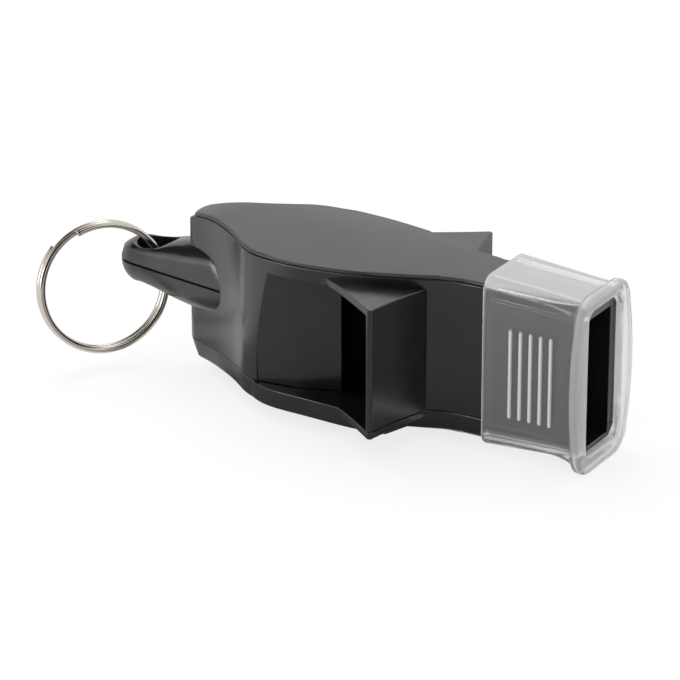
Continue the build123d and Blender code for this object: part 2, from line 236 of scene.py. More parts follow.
def moulded_black_plastic(colours):
    """ABS moulded in a polished tool: near black, with soft wide reflections and faint flow marks."""
    material, tree, output = new_material("abs_moulded_black")
    place = add_node(tree, "ShaderNodeTexCoord").outputs["Object"]
    flow = add_node(tree, "ShaderNodeTexNoise", {"Vector": place, "Scale": per_mm(6), "Detail": 3.0})
    tint = add_node(tree, "ShaderNodeValToRGB", {"Fac": flow.outputs["Fac"]})
    tint.color_ramp.elements[0].position = 0.35
    tint.color_ramp.elements[0].color = linear(colours.plastic)
    tint.color_ramp.elements[1].position = 0.75
    tint.color_ramp.elements[1].color = linear(colours.plastic_flow)
    wear = add_node(tree, "ShaderNodeTexNoise", {"Vector": place, "Scale": per_mm(1.5), "Detail": 6.0})
    gloss = add_node(tree, "ShaderNodeMapRange", {
        "Value": wear.outputs["Fac"], "To Min": 0.16, "To Max": 0.3})
    skin = add_node(tree, "ShaderNodeTexNoise", {"Vector": place, "Scale": per_mm(0.8), "Detail": 4.0})
    bump = add_node(tree, "ShaderNodeBump", {
        "Height": skin.outputs["Fac"], "Strength": 0.12, "Distance": 0.05 * MM})
    surface = add_node(tree, "ShaderNodeBsdfPrincipled", {
        "Base Color": tint.outputs["Color"], "Roughness": gloss.outputs["Result"],
        "Normal": bump.outputs["Normal"], "IOR": 1.58, "Specular IOR Level": 0.65})
    tree.links.new(surface.outputs["BSDF"], output.inputs["Surface"])
    return material


def textured_lid_plastic(colours):
    """ABS moulded against a spark-eroded plate: an even satin grey-black with a very fine grain. Its
    grey is partly painted light, the sheen of the brightly lit top face drawn into its colour.

    The real grain is about 0.05 mm wide. That is too fine to show, so it is drawn 0.2 mm wide.
    """
    material, tree, output = new_material("abs_satin_black_painted_sheen")
    place = add_node(tree, "ShaderNodeTexCoord").outputs["Object"]
    flow = add_node(tree, "ShaderNodeTexNoise", {"Vector": place, "Scale": per_mm(7), "Detail": 3.0})
    tint = add_node(tree, "ShaderNodeValToRGB", {"Fac": flow.outputs["Fac"]})
    tint.color_ramp.elements[0].position = 0.35
    tint.color_ramp.elements[0].color = linear(colours.lid)
    tint.color_ramp.elements[1].position = 0.75
    tint.color_ramp.elements[1].color = linear(colours.lid_flow)
    grain = add_node(tree, "ShaderNodeTexNoise", {"Vector": place, "Scale": per_mm(0.2), "Detail": 3.0})
    gloss = add_node(tree, "ShaderNodeMapRange", {
        "Value": grain.outputs["Fac"], "To Min": 0.32, "To Max": 0.46})
    bump = add_node(tree, "ShaderNodeBump", {
        "Height": grain.outputs["Fac"], "Strength": 0.15, "Distance": 0.02 * MM})
    surface = add_node(tree, "ShaderNodeBsdfPrincipled", {
        "Base Color": tint.outputs["Color"], "Roughness": gloss.outputs["Result"],
        "Normal": bump.outputs["Normal"], "IOR": 1.53})
    tree.links.new(surface.outputs["BSDF"], output.inputs["Surface"])
    return material


def moulded_clear_silicone(colours):
    """Silicone rubber moulded clear, with see-through sides and a soft gloss. Its drawn milkiness is
    partly real haze and partly painted light: painted highlights on the ribs and a painted lighter top.
    """
    material, tree, output = new_material("silicone_moulded_clear")
    place = add_node(tree, "ShaderNodeTexCoord").outputs["Object"]
    # Whiteness per vertex: real haze at the rear rim, foot and flange, painted highlights on the ribs,
    # partly painted light on the top
    milk_and_light = add_node(tree, "ShaderNodeAttribute", attribute_name="milk_and_light").outputs["Fac"]
    clear = add_node(tree, "ShaderNodeMapRange", {"Value": milk_and_light, "To Min": 1.0, "To Max": 0.1})
    haze = add_node(tree, "ShaderNodeTexNoise", {"Vector": place, "Scale": per_mm(2.5), "Detail": 4.0})
    gloss = add_node(tree, "ShaderNodeMapRange", {
        "Value": haze.outputs["Fac"], "To Min": 0.02, "To Max": 0.07})
    ripple = add_node(tree, "ShaderNodeTexNoise", {"Vector": place, "Scale": per_mm(1.6), "Detail": 3.0})
    bump = add_node(tree, "ShaderNodeBump", {
        "Height": ripple.outputs["Fac"], "Strength": 0.06, "Distance": 0.08 * MM})
    surface = add_node(tree, "ShaderNodeBsdfPrincipled", {
        "Base Color": linear(colours.silicone), "Roughness": gloss.outputs["Result"],
        "Normal": bump.outputs["Normal"], "IOR": 1.41, "Transmission Weight": clear.outputs["Result"]})
    tree.links.new(surface.outputs["BSDF"], output.inputs["Surface"])
    return material


def drawn_nickel_wire(colours):
    """Nickel plate on drawn spring steel: bright, slightly warm, with fine draw lines along the wire.

    The lines are about 0.04 mm apart, too fine to show one by one, and soften the highlights.
    """
    material, tree, output = new_material("nickel_plated_drawn_steel")
    along = add_node(tree, "ShaderNodeUVMap", uv_map="along_wire")
    stretch = add_node(tree, "ShaderNodeMapping", {
        "Vector": along.outputs["UV"], "Scale": (1 / DRAW_LINE_LENGTH, 1 / DRAW_LINE_PITCH, 1.0)})
    lines = add_node(tree, "ShaderNodeTexNoise", {
        "Vector": stretch.outputs["Vector"], "Scale": 1.0, "Detail": 4.0})
    gloss = add_node(tree, "ShaderNodeMapRange", {
        "Value": lines.outputs["Fac"], "To Min": 0.1, "To Max": 0.26})
    bump = add_node(tree, "ShaderNodeBump", {
        "Height": lines.outputs["Fac"], "Strength": 0.1, "Distance": 0.02 * MM})
    surface = add_node(tree, "ShaderNodeBsdfPrincipled", {
        "Base Color": linear(colours.nickel), "Metallic": 1.0, "Roughness": gloss.outputs["Result"],
        "Normal": bump.outputs["Normal"]})
    tree.links.new(surface.outputs["BSDF"], output.inputs["Surface"])
    return material


def pale_floor(colours):
    """Matt white sweep, lifted to white for the camera while its soft shadow stays."""
    material, tree, output = new_material("matt_white_sweep")
    seen = seen_rays(tree)
    plain = add_node(tree, "ShaderNodeBsdfDiffuse", {"Color": linear(colours.floor)})
    lifted = add_node(tree, "ShaderNodeEmission", {"Strength": FLOOR_GLOW})
    dimmed = add_node(tree, "ShaderNodeBsdfDiffuse", {
        "Color": (FLOOR_TAKES, FLOOR_TAKES, FLOOR_TAKES, 1.0)})
    shown = add_node(tree, "ShaderNodeAddShader")
    tree.links.new(lifted.outputs["Emission"], shown.inputs[0])
    tree.links.new(dimmed.outputs["BSDF"], shown.inputs[1])
    mixed = add_node(tree, "ShaderNodeMixShader", {"Fac": seen})
    tree.links.new(plain.outputs["BSDF"], mixed.inputs[1])
    tree.links.new(shown.outputs["Shader"], mixed.inputs[2])
    tree.links.new(mixed.outputs["Shader"], output.inputs["Surface"])
    return material


def matt_card(name, grey):
    """Matt card board of an even grey."""
    material, tree, output = new_material(name)
    surface = add_node(tree, "ShaderNodeBsdfDiffuse", {"Color": (grey, grey, grey, 1.0)})
    tree.links.new(surface.outputs["BSDF"], output.inputs["Surface"])
    return material


def seen_rays(tree):
    """1 for rays that show the background: from the camera, in reflections and through clear pieces."""
    rays = add_node(tree, "ShaderNodeLightPath")
    mirrored = add_node(tree, "ShaderNodeMath", operation="MAXIMUM")
    tree.links.new(rays.outputs["Is Camera Ray"], mirrored.inputs[0])
    tree.links.new(rays.outputs["Is Glossy Ray"], mirrored.inputs[1])
    seen = add_node(tree, "ShaderNodeMath", operation="MAXIMUM")
    tree.links.new(mirrored.outputs["Value"], seen.inputs[0])
    tree.links.new(rays.outputs["Is Transmission Ray"], seen.inputs[1])
    return seen.outputs["Value"]


def grown_from(vert, new):
    """The one of the new vertices that was extruded from a vertex."""
    return next(edge.other_vert(vert) for edge in vert.link_edges if edge.other_vert(vert) in new)


def ring_shell(loops):
    """Closed shell through loops of equally many points, with its last loop joined to its first."""
    mesh_edit = bmesh.new()
    bmesh.ops.create_circle(mesh_edit, segments=len(loops[0]), radius=1.0)
    first = edges = list(mesh_edit.edges)
    verts = list(mesh_edit.verts)
    for number, loop in enumerate(loops):
        if number:
            grown = bmesh.ops.extrude_edge_only(mesh_edit, edges=edges)["geom"]
            new = set(grown)
            edges = [item for item in grown
                     if isinstance(item, bmesh.types.BMEdge) and new.issuperset(item.verts)]
            verts = [grown_from(vert, new) for vert in verts]
        for vert, place in zip(verts, loop):
            vert.co = place
    bmesh.ops.bridge_loops(mesh_edit, edges=first + edges)
    bmesh.ops.recalc_face_normals(mesh_edit, faces=mesh_edit.faces)
    return mesh_edit


# Black mouldings

CRISP = math.radians(28)
HOLLOW = math.radians(-6)
TAIL_FALL_X = -17.0 * MM
TAIL_CUT = 0.5 * MM
TAIL_TUCK = 0.9 * MM
TIP_ROUND = 0.7 * MM
TAIL_TOP_Z = 16.5 * MM
LID_TAIL_X = -22.6 * MM
LID_PULL_X = -20.5 * MM
RECESS_TOP_Z = 16.9 * MM
RECESS_END_X = 0.58 * MM
# Rear corner of a side recess: its lowest and highest X, and its least distance from the middle
RECESS_REAR = (-9.1 * MM, -7.1 * MM, 8.3 * MM)
RECESS_BEND = math.radians(8)
LEVEL_TOLERANCE = 0.01 * MM
LUG_BEHIND = 1.0 * MM
LUG_CUT = 0.3 * MM
EDGE_STEPS = 3
LID_RIM_STEPS = 4
LID_UNDER_STEPS = 2
LID_UNDER_SHARE = 1 / 3
FACES_UP = 0.9


def all_of(mesh_edit):
    """Everything in a bmesh, as the cutting operators take it."""
    return list(mesh_edit.verts) + list(mesh_edit.edges) + list(mesh_edit.faces)


def crisp_edges(mesh_edit, radius):
    """Outer edges between two faces that meet at a clear angle and are wide enough to round."""
    return [edge for edge in mesh_edit.edges
            if edge.is_manifold and edge.calc_face_angle_signed() > CRISP
            and all(width_from(edge, face) > 2 * radius for face in edge.link_faces)]


def on_recess_top(edge):
    """True on the top edge of a side recess, which runs out to nothing and so stays crisp."""
    return all(abs(vert.co.z - RECESS_TOP_Z) < LEVEL_TOLERANCE and vert.co.x < RECESS_END_X
               for vert in edge.verts)


def on_recess_rear(edge):
    """True on the slight corner where a side recess begins."""
    low, high, half = RECESS_REAR
    return (RECESS_BEND < edge.calc_face_angle(0) < CRISP
            and all(low < vert.co.x < high and abs(vert.co.y) > half for vert in edge.verts))


def width_from(edge, face):
    """How far a face reaches from one of its edges."""
    start = edge.verts[0].co
    along = (edge.verts[1].co - start).normalized()
    return max((vert.co - start - along * along.dot(vert.co - start)).length for vert in face.verts)


def lower_tail(mesh_edit, fall):
    """Rounds the top face down to the rear tip."""
    for step in range(int((TAIL_FALL_X - TAIL_X) / TAIL_CUT)):
        bmesh.ops.bisect_plane(
            mesh_edit, geom=all_of(mesh_edit), dist=CUT_DISTANCE,
            plane_co=(TAIL_FALL_X - step * TAIL_CUT, 0, 0), plane_no=(1, 0, 0))
    for vert in mesh_edit.verts:
        if vert.co.z > TAIL_TOP_Z and vert.co.x < TAIL_FALL_X:
            vert.co.z -= fall * ((TAIL_FALL_X - vert.co.x) / (TAIL_FALL_X - TAIL_X)) ** 2
            vert.co.z -= TIP_ROUND * max(0, (LID_TAIL_X - vert.co.x) / (LID_TAIL_X - TAIL_X)) ** 2


def remove_plain_lug(mesh_edit):
    """Takes off the plain lug and closes the tail's wall where it stood."""
    found = {face for face in mesh_edit.faces if face.calc_center_median().x < TAIL_X - LUG_BEHIND}
    waiting = list(found)
    while waiting:
        for edge in waiting.pop().edges:
            if edge.calc_face_angle_signed(0) > HOLLOW:
                grown = set(edge.link_faces) - found
                found |= grown
                waiting += grown
    lug = [face for face in mesh_edit.faces if face in found]
    bmesh.ops.delete(mesh_edit, geom=lug, context="FACES")
    rim = [edge for edge in mesh_edit.edges if edge.is_boundary]
    reach = max(vert.co.y for edge in rim for vert in edge.verts)
    wall = bmesh.ops.contextual_create(mesh_edit, geom=rim)["faces"]
    for step in range(1, int(2 * reach / LUG_CUT)):
        around = dict.fromkeys(item for face in wall for item in list(face.verts) + list(face.edges))
        cut = bmesh.ops.bisect_plane(
            mesh_edit, geom=list(around) + wall, dist=CUT_DISTANCE,
            plane_co=(0, step * LUG_CUT - reach, 0), plane_no=(0, 1, 0))
        wall = [item for item in cut["geom"] if isinstance(item, bmesh.types.BMFace)]
    bmesh.ops.recalc_face_normals(mesh_edit, faces=mesh_edit.faces)


class WHISTLE_OT_casing(Operator):
    """Builds the casing with its fins and sound windows"""

    bl_idname = "whistle.casing"
    bl_label = "Casing"

    def execute(self, context):
        sizes = context.scene.whistle_sizes
        mesh_edit = merged_copy("casing")
        remove_plain_lug(mesh_edit)
        edges = [edge for edge in crisp_edges(mesh_edit, sizes.edge_round) if not on_recess_top(edge)]
        round_edges(mesh_edit, edges, sizes.edge_round, EDGE_STEPS)
        lower_tail(mesh_edit, sizes.tail_fall)
        plastic = moulded_black_plastic(context.scene.whistle_colours)
        shade(mesh_edit)
        for edge in filter(on_recess_rear, mesh_edit.edges):
            edge.smooth = False
        keep_flat(new_piece("casing_moulding", mesh_edit, plastic, "whistle", "black_plastic", "casing"))
        return {"FINISHED"}


class WHISTLE_OT_bottom_cover(Operator):
    """Builds the bottom cover with the lower fin caps"""

    bl_idname = "whistle.bottom_cover"
    bl_label = "Bottom cover"

    def execute(self, context):
        sizes = context.scene.whistle_sizes
        mesh_edit = merged_copy("bottom_cover")
        edges = crisp_edges(mesh_edit, sizes.edge_round)
        round_edges(mesh_edit, edges, sizes.edge_round, EDGE_STEPS)
        for vert in mesh_edit.verts:
            back = max(0, (TAIL_FALL_X - vert.co.x) / (TAIL_FALL_X - TAIL_X))
            vert.co.x += TAIL_TUCK * back * (1 - vert.co.z / SEAM_LOW)
        plastic = bpy.data.materials["abs_moulded_black"]
        shade(mesh_edit)
        keep_flat(new_piece(
            "bottom_moulding", mesh_edit, plastic, "whistle", "black_plastic", "bottom_cover"))
        return {"FINISHED"}


class WHISTLE_OT_top_cover(Operator):
    """Builds the lid with its rounded rim"""

    bl_idname = "whistle.top_cover"
    bl_label = "Top cover"

    def execute(self, context):
        sizes = context.scene.whistle_sizes
        mesh_edit = merged_copy("top_cover")
        for vert in mesh_edit.verts:
            back = max(0, (LID_PULL_X - vert.co.x) / (LID_PULL_X - TAIL_X))
            vert.co.x += (LID_TAIL_X - TAIL_X) * back ** 2
        edges = crisp_edges(mesh_edit, sizes.edge_round)
        rim = [edge for edge in edges if max(face.normal.z for face in edge.link_faces) > FACES_UP]
        under = [edge for edge in edges if min(face.normal.z for face in edge.link_faces) < -FACES_UP]
        round_edges(mesh_edit, under, sizes.lid_round * LID_UNDER_SHARE, LID_UNDER_STEPS)
        rim = [edge for edge in rim if edge.is_valid]
        round_edges(mesh_edit, rim, sizes.lid_round, LID_RIM_STEPS)
        lower_tail(mesh_edit, sizes.tail_fall)
        plastic = textured_lid_plastic(context.scene.whistle_colours)
        shade(mesh_edit)
        keep_flat(new_piece("lid_moulding", mesh_edit, plastic, "whistle", "lid_plastic", "top_cover"))
        return {"FINISHED"}


# Tail lug

HOLE_X = -28.5 * MM
HOLE_HALF_WIDTH = 2.125 * MM
HOLE_HALF_LENGTH = 2.725 * MM
LUG_ROOT_X = -16.6 * MM
LUG_ROOT_HALF = 3.97 * MM
LUG_END_RADIUS = 2.85 * MM
LUG_END_X = LUG_TIP_X + LUG_END_RADIUS
LUG_END_STEPS = 12
LUG_SIDE_STEPS = 14
LUG_CORE = ((-17.1 * MM, 3.0 * MM), (-17.6 * MM, 2.0 * MM), (-17.6 * MM, 1.2 * MM), (-17.6 * MM, 0.0))
# At the lug's end and at its root: rise of its middle line, half height above it and below it
LUG_RISE = (1.48 * MM, 1.0 * MM)
LUG_TOP = (2.15 * MM, 5.4 * MM)
LUG_UNDERSIDE = (2.7 * MM, 5.1 * MM)
LUG_FULLNESS = 2.8
# Upper end of the lug's flank, as a share of the way out and of the height
LUG_FLANK = (0.88, 0.62)
# Depth and height of the four lines of the parting groove
LUG_GROOVE = ((0.0, 0.2 * MM), (0.32 * MM, 0.06 * MM), (0.32 * MM, -0.06 * MM), (0.0, -0.16 * MM))
# Loops from the hole to the lug's edge, as shares of the way, and how far the hole's rim reaches
HOLE_DIP_REACH = 0.4
LUG_SHARES = (0, 0.03, 0.1, 0.2, 0.33, 0.48, 0.6, 0.7, 0.78, 0.84, 0.89, 0.93, 0.96, 0.985)


def lug_share(x):
    """0 at the end of the lug, 1 at its root."""
    return (x - LUG_TIP_X) / (LUG_ROOT_X - LUG_TIP_X)


def lug_half(x):
    """Half width of the lug at x, on its straight sides."""
    share = (x - LUG_END_X) / (LUG_ROOT_X - LUG_END_X)
    return LUG_END_RADIUS + share * (LUG_ROOT_HALF - LUG_END_RADIUS)


def lug_outline():
    """Far half of the lug's outline seen from above, from its end to the core inside the tail."""
    turns = [math.radians(180 - 90 / LUG_END_STEPS * step) for step in range(LUG_END_STEPS)]
    end = [(LUG_END_X + LUG_END_RADIUS * math.cos(a), LUG_END_RADIUS * math.sin(a)) for a in turns]
    pace = (LUG_ROOT_X - LUG_END_X) / LUG_SIDE_STEPS
    along = [LUG_END_X + step * pace for step in range(LUG_SIDE_STEPS + 1)]
    return end + [(x, lug_half(x)) for x in along] + list(LUG_CORE)


def hole_reach(turn):
    """From the middle of the lug's hole to its wall, in one direction."""
    straight = HOLE_HALF_LENGTH - HOLE_HALF_WIDTH
    if abs(math.cos(turn)) * HOLE_HALF_WIDTH <= straight * math.sin(turn):
        return HOLE_HALF_WIDTH / math.sin(turn)
    lead = straight * abs(math.cos(turn))
    return lead + math.sqrt(lead ** 2 + HOLE_HALF_WIDTH ** 2 - straight ** 2)


def lug_out(x, y):
    """0 on the lug's middle line and 1 on its edge, seen from above."""
    if x < LUG_END_X:
        return min(1, math.hypot(x - LUG_END_X, y) / LUG_END_RADIUS)
    return min(1, abs(y) / lug_half(x))


def lug_height(x, y, side):
    """Share of the lug's half height: flat flanks and a rounded top above, one round sweep below."""
    out = lug_out(x, y)
    shoulder, level = LUG_FLANK
    if side < 0:
        return -math.sqrt(1 - out ** LUG_FULLNESS)
    if out > shoulder:
        return level * (1 - out) / (1 - shoulder)
    return level + (1 - level) * (1 - (out / shoulder) ** LUG_FULLNESS)


def lug_inset(x, y, depth):
    """A place on the lug's edge moved in by a depth."""
    if x > LUG_END_X:
        return x, y - math.copysign(min(depth, abs(y)), y)
    scale = 1 - depth / LUG_END_RADIUS
    return LUG_END_X + scale * (x - LUG_END_X), scale * y


def lug_loops(dip):
    """Loops from the wall of the hole over the lug's top, round its edge and back underneath."""
    half = lug_outline()
    outline = half + [(x, -y) for x, y in reversed(half[1:-1])]
    loops = []
    for side in (1, -1):
        lip = LUG_GROOVE[0 if side > 0 else -1][1]
        for share in LUG_SHARES if side > 0 else reversed(LUG_SHARES):
            loop = []
            for edge_x, edge_y in outline:
                turn = math.atan2(abs(edge_y), edge_x - HOLE_X)
                reach = hole_reach(turn) / math.hypot(edge_x - HOLE_X, edge_y)
                out = reach + share * (1 - reach)
                x, y = HOLE_X + out * (edge_x - HOLE_X), out * edge_y
                level = lug_height(x, y, side)
                sunk = dip * max(0, 1 - share / HOLE_DIP_REACH) ** 2
                loop.append(lug_place(x, y, level, lip * (1 - abs(level)) - side * sunk))
            loops.append(loop)
        if side > 0:
            for depth, shift in LUG_GROOVE:
                loops.append([lug_place(*lug_inset(x, y, depth), 0, shift) for x, y in outline])
    return loops


def lug_place(x, y, level, shift):
    """A place of the lug, with its height given as a share of the half height there."""
    share = lug_share(x)
    middle = MID_HEIGHT + LUG_RISE[0] + share * (LUG_RISE[1] - LUG_RISE[0])
    tip, root = LUG_TOP if level > 0 else LUG_UNDERSIDE
    return x, y, middle + level * (tip + share * (root - tip)) + shift


class WHISTLE_OT_tail_lug(Operator):
    """Builds the rounded lug behind the casing, with the hole for the split ring"""

    bl_idname = "whistle.tail_lug"
    bl_label = "Tail lug"

    def execute(self, context):
        mesh_edit = ring_shell(lug_loops(context.scene.whistle_sizes.hole_dip))
        plastic = bpy.data.materials["abs_moulded_black"]
        piece = new_piece("tail_lug", mesh_edit, plastic, "whistle", "black_plastic")
        shade_round(piece)
        return {"FINISHED"}


# Mouth grip

GRIP_CLEARANCE = 0.15 * MM
GRIP_TOP_WALL = 1.05 * MM
GRIP_TOP_FALL = 0.6 * MM
GRIP_CORNER = 1.6 * MM
GRIP_FRONT_WALL = 0.5 * MM
BORE_CORNER = 1.2 * MM
MOUTH_HALF = 4.0 * MM
NECK_X = 18.6 * MM
NECK_BASE_STEP = 0.3 * MM
MOUTH_BASE_STEP = 0.85 * MM
MOUTH_TOP_STEP = 0.3 * MM
FLANGE_LENGTH = 1.1 * MM
FLANGE_X = GRIP_HIGH.x - FLANGE_LENGTH
FLANGE_ROUND = 0.5 * MM
FLANGE_FILLET = 0.35 * MM
FLANGE_CORNER = 3.2 * MM
FLANGE_BULGE = 0.9 * MM
FLANGE_SHOULDER = 2.1 * MM
FLARE_LENGTH = 4.5 * MM
FLARE_DROP = 1.4 * MM
FLARE_POWER = 2.4
REAR_RIM = 1.0 * MM
RIB_SETBACK = 3.9 * MM
RIB_PITCH = 1.3 * MM
RIB_HEIGHT = 11.2 * MM
RIB_WIDTH = 0.55 * MM
RAGGED = 0.1 * MM
RAGGED_PITCH = 0.7
CORNER_STEPS = 8
REAR_TURN = 30
FLANGE_TURN = 22
FLARE_STEPS = 8
MOUTH_LIP = 0.1 * MM
# Where the loops lie: behind the ribs, over a rib, up the flange, over its face and in the bore
REAR_LOOPS = [step * MM for step in (0.5, 1.0, 1.8, 2.6, 3.3)]
RIB_LOOPS = [
    step * RIB_WIDTH for step in (-0.56, -0.5, -0.44, -0.34, -0.18, 0, 0.18, 0.34, 0.44, 0.5, 0.56)]
FILLET_SHARES = (0.05, 0.2, 0.5, 0.8)
FACE_SHARES = (0.3, 0.6, 0.88)
BORE_LOOPS = [step * MM for step in (0.5, 1.0, 2.5, 4, 6, 8, 10, 12)]
SIDE_LEVELS = [level * MM for level in (0, 1.5, 3, 4.5, 5.1, 5.25, 5.35, 5.45, 5.52, 5.6, 5.7, 6.4)]
# How milky the silicone is drawn, from 0 to 1: everywhere, on the ribs, and the most that it
# reaches on other parts, with the range of the measure over which it gets there. On the ribs it is
# painted highlight; on the top it is partly real haze and partly painted light of the lit top.
MILK_BASE = 0.12
RIB_PAINTED_HIGHLIGHT = 0.9
RIB_HIGHLIGHT_POWER = 1.5
TOP_MILK_AND_PAINTED_LIGHT = (0.58, 0.45 * MM, 0.95 * MM)
MILK_REAR = (0.8, -0.5 * MM, -0.1 * MM)
MILK_FOOT = (0.5, 0.0, 0.6 * MM)
MILK_FLANGE = (0.32, -0.5 * MM, 0.3 * MM)


def mouthpiece_share(x):
    """0 at the neck, 1 at the mouth."""
    return (x - NECK_X) / (MOUTH_X - NECK_X)


def bore_size(x):
    """Half width, low, high and corner of the grip's bore at x."""
    share = mouthpiece_share(x)
    low = NECK_BASE_STEP + share * (MOUTH_BASE_STEP - NECK_BASE_STEP) - GRIP_CLEARANCE
    high = BODY_TOP - share * MOUTH_TOP_STEP + GRIP_CLEARANCE
    return MOUTH_HALF + GRIP_CLEARANCE, low, high, BORE_CORNER


def sleeve_size(x, rear_wall):
    """Half width, low, high and corner of the sleeve's outside at x, with its flare to the flange."""
    half, low, high, _ = bore_size(x)
    share = (x - GRIP_LOW.x) / (FLANGE_X - GRIP_LOW.x)
    wall = rear_wall + share * (GRIP_FRONT_WALL - rear_wall)
    top_wall = GRIP_TOP_WALL + (1 - share) * GRIP_TOP_FALL
    flare = max(0, 1 - (FLANGE_X - x) / FLARE_LENGTH)
    drop = FLARE_DROP * flare ** FLARE_POWER
    return half + wall + drop / 2, low - wall - drop, high + top_wall, GRIP_CORNER + drop / 2


def between(first, second, share):
    """Sizes a share of the way from the first to the second."""
    return tuple(a + share * (b - a) for a, b in zip(first, second))


def section_points(half, low, high, corner, bulge=0.0):
    """Y and Z round a rectangle with round corners and bulged sides, in a fixed number of points."""
    quarter = [math.radians(90 * step / CORNER_STEPS) for step in range(CORNER_STEPS + 1)]
    levels = [MID_HEIGHT + z for z in [-z for z in reversed(SIDE_LEVELS[1:])] + SIDE_LEVELS]
    reach = (high - low) / 2 - corner
    middle = (high + low) / 2
    far = [(half + bulge * (1 - ((z - middle) / reach) ** 2), z) for z in levels]
    top = [(half - corner + corner * math.cos(a), high - corner + corner * math.sin(a)) for a in quarter]
    bottom = [(half - corner + corner * math.sin(a), low + corner - corner * math.cos(a))
              for a in quarter]
    right = bottom + far + top
    return right + [(0.0, high)] + [(-y, z) for y, z in reversed(right)] + [(0.0, low)]


def rib_share(x, z, count):
    """How far a place on the grip's side lies up a rib, from 0 beside it to 1 on its middle line."""
    half_line = (RIB_HEIGHT - RIB_WIDTH) / 2
    end = max(0, abs(z - MID_HEIGHT) - half_line)
    ribs = [GRIP_LOW.x + RIB_SETBACK + number * RIB_PITCH for number in range(count)]
    nearest = min((math.hypot(x - rib, end) for rib in ribs), default=RIB_WIDTH)
    return math.sqrt(1 - min(1, nearest / (RIB_WIDTH / 2)) ** 2)


def grip_stations(sizes):
    """X and section sizes of each loop: out along the sleeve, over the flange, back in the bore."""
    rear, front = GRIP_LOW.x, GRIP_HIGH.x
    wall = sizes.grip_wall
    loops = []
    for turn in range(0, 181, REAR_TURN):
        swing = math.radians(turn)
        x = rear + wall / 2 * (1 - math.sin(swing))
        share = (1 - math.cos(swing)) / 2
        loops.append((x, between(bore_size(x), sleeve_size(x, wall), share) + (0.0,)))
    outer = [rear + step for step in REAR_LOOPS]
    for number in range(sizes.rib_count):
        rib = rear + RIB_SETBACK + number * RIB_PITCH
        outer += [rib + step for step in RIB_LOOPS]
    last = outer[-1]
    outer += [last + (FLANGE_X - last) * step / FLARE_STEPS for step in range(1, FLARE_STEPS)]
    loops += [(x, sleeve_size(x, wall) + (0.0,)) for x in outer]
    flange = (MOUTH_HALF + FLANGE_SHOULDER, GRIP_LOW.z, GRIP_HIGH.z, FLANGE_CORNER, FLANGE_BULGE)
    root = sleeve_size(FLANGE_X, wall) + (0.0,)
    for share in FILLET_SHARES:
        loops.append((FLANGE_X - FLANGE_FILLET * (1 - share) ** 2, between(root, flange, share)))
    for turn in range(0, 181, FLANGE_TURN):
        swing = math.radians(turn)
        inset = FLANGE_ROUND * (1 - math.sin(swing))
        smaller = (flange[0] - inset, flange[1] + inset, flange[2] - inset, flange[3] - inset, flange[4])
        end_x = FLANGE_X + FLANGE_ROUND if turn < 90 else front - FLANGE_ROUND
        loops.append((end_x - FLANGE_ROUND * math.cos(swing), smaller))
    mouth = bore_size(front) + (0.0,)
    loops += [(front, between(smaller, mouth, share)) for share in FACE_SHARES]
    loops.append((front - MOUTH_LIP, mouth))
    loops += [(front - step, bore_size(front - step) + (0.0,)) for step in BORE_LOOPS]
    return loops


def milk_and_light_step(measure, spread):
    """Nothing below a spread's range, its most above the range and a smooth step between."""
    most, low, high = spread
    share = min(1, max(0, (measure - low) / (high - low)))
    return most * share * share * (3 - 2 * share)


def milk_and_painted_light(place, sizes):
    """How white the silicone is drawn: little on its thin sides, most on its ribs, thick top and rear
    rim; on the ribs that is painted highlight, on the top partly painted light.
    """
    outside = abs(place.y) > MOUTH_HALF + 2 * GRIP_CLEARANCE
    side = outside and place.z < BODY_TOP - GRIP_CORNER and place.x < FLANGE_X
    rib = rib_share(place.x, place.z, sizes.rib_count) if side else 0
    most = max(
        RIB_PAINTED_HIGHLIGHT * rib ** RIB_HIGHLIGHT_POWER,
        milk_and_light_step(place.z - BODY_TOP, TOP_MILK_AND_PAINTED_LIGHT),
        milk_and_light_step(GRIP_LOW.x - place.x, MILK_REAR),
        milk_and_light_step(NECK_BASE_STEP - place.z, MILK_FOOT),
        milk_and_light_step(place.x - FLANGE_X, MILK_FLANGE))
    return MILK_BASE + (1 - MILK_BASE) * most


class WHISTLE_OT_mouth_grip(Operator):
    """Builds the clear sleeve with its ribs and bite flange"""

    bl_idname = "whistle.mouth_grip"
    bl_label = "Mouth grip"

    def execute(self, context):
        sizes = context.scene.whistle_sizes
        loops = []
        for x, size in grip_stations(sizes):
            half, bulge = size[0], size[-1]
            on_sleeve = half > MOUTH_HALF + GRIP_FRONT_WALL and bulge == 0
            ribbed = on_sleeve and x > GRIP_LOW.x + REAR_RIM
            loop = []
            for y, z in section_points(*size):
                rise = rib_share(x, z, sizes.rib_count) if ribbed and abs(y) > MOUTH_HALF else 0
                loop.append((x, y + math.copysign(sizes.rib_rise * rise, y), z))
            loops.append(loop)
        mesh_edit = ring_shell(loops)
        # Whiteness per vertex, partly real haze and partly painted light: painted highlights on the
        # ribs, a painted lighter top
        layer = mesh_edit.verts.layers.float.new("milk_and_light")
        for vert in mesh_edit.verts:
            vert[layer] = milk_and_painted_light(vert.co, sizes)
            if vert.co.x < GRIP_LOW.x + sizes.grip_wall / 2:
                vert.co.x += RAGGED * (0.5 + 0.5 * noise.noise(vert.co * per_mm(RAGGED_PITCH)))
        silicone = moulded_clear_silicone(context.scene.whistle_colours)
        piece = new_piece("grip_sleeve", mesh_edit, silicone, "grip", "clear_silicone", "mouth_grip")
        piece.data.shade_smooth()
        return {"FINISHED"}


# Split ring

RING_LEAN = math.radians(8)
RING_SPLIT = math.radians(135)
RING_RADIUS = 7.85 * MM
TURN_GAP = 0.04 * MM
WIRE_SIDES = 16
STEPS_A_TURN = 96
WIRE_END_ROUND = 1 / 6
WIRE_END_STEPS = 2


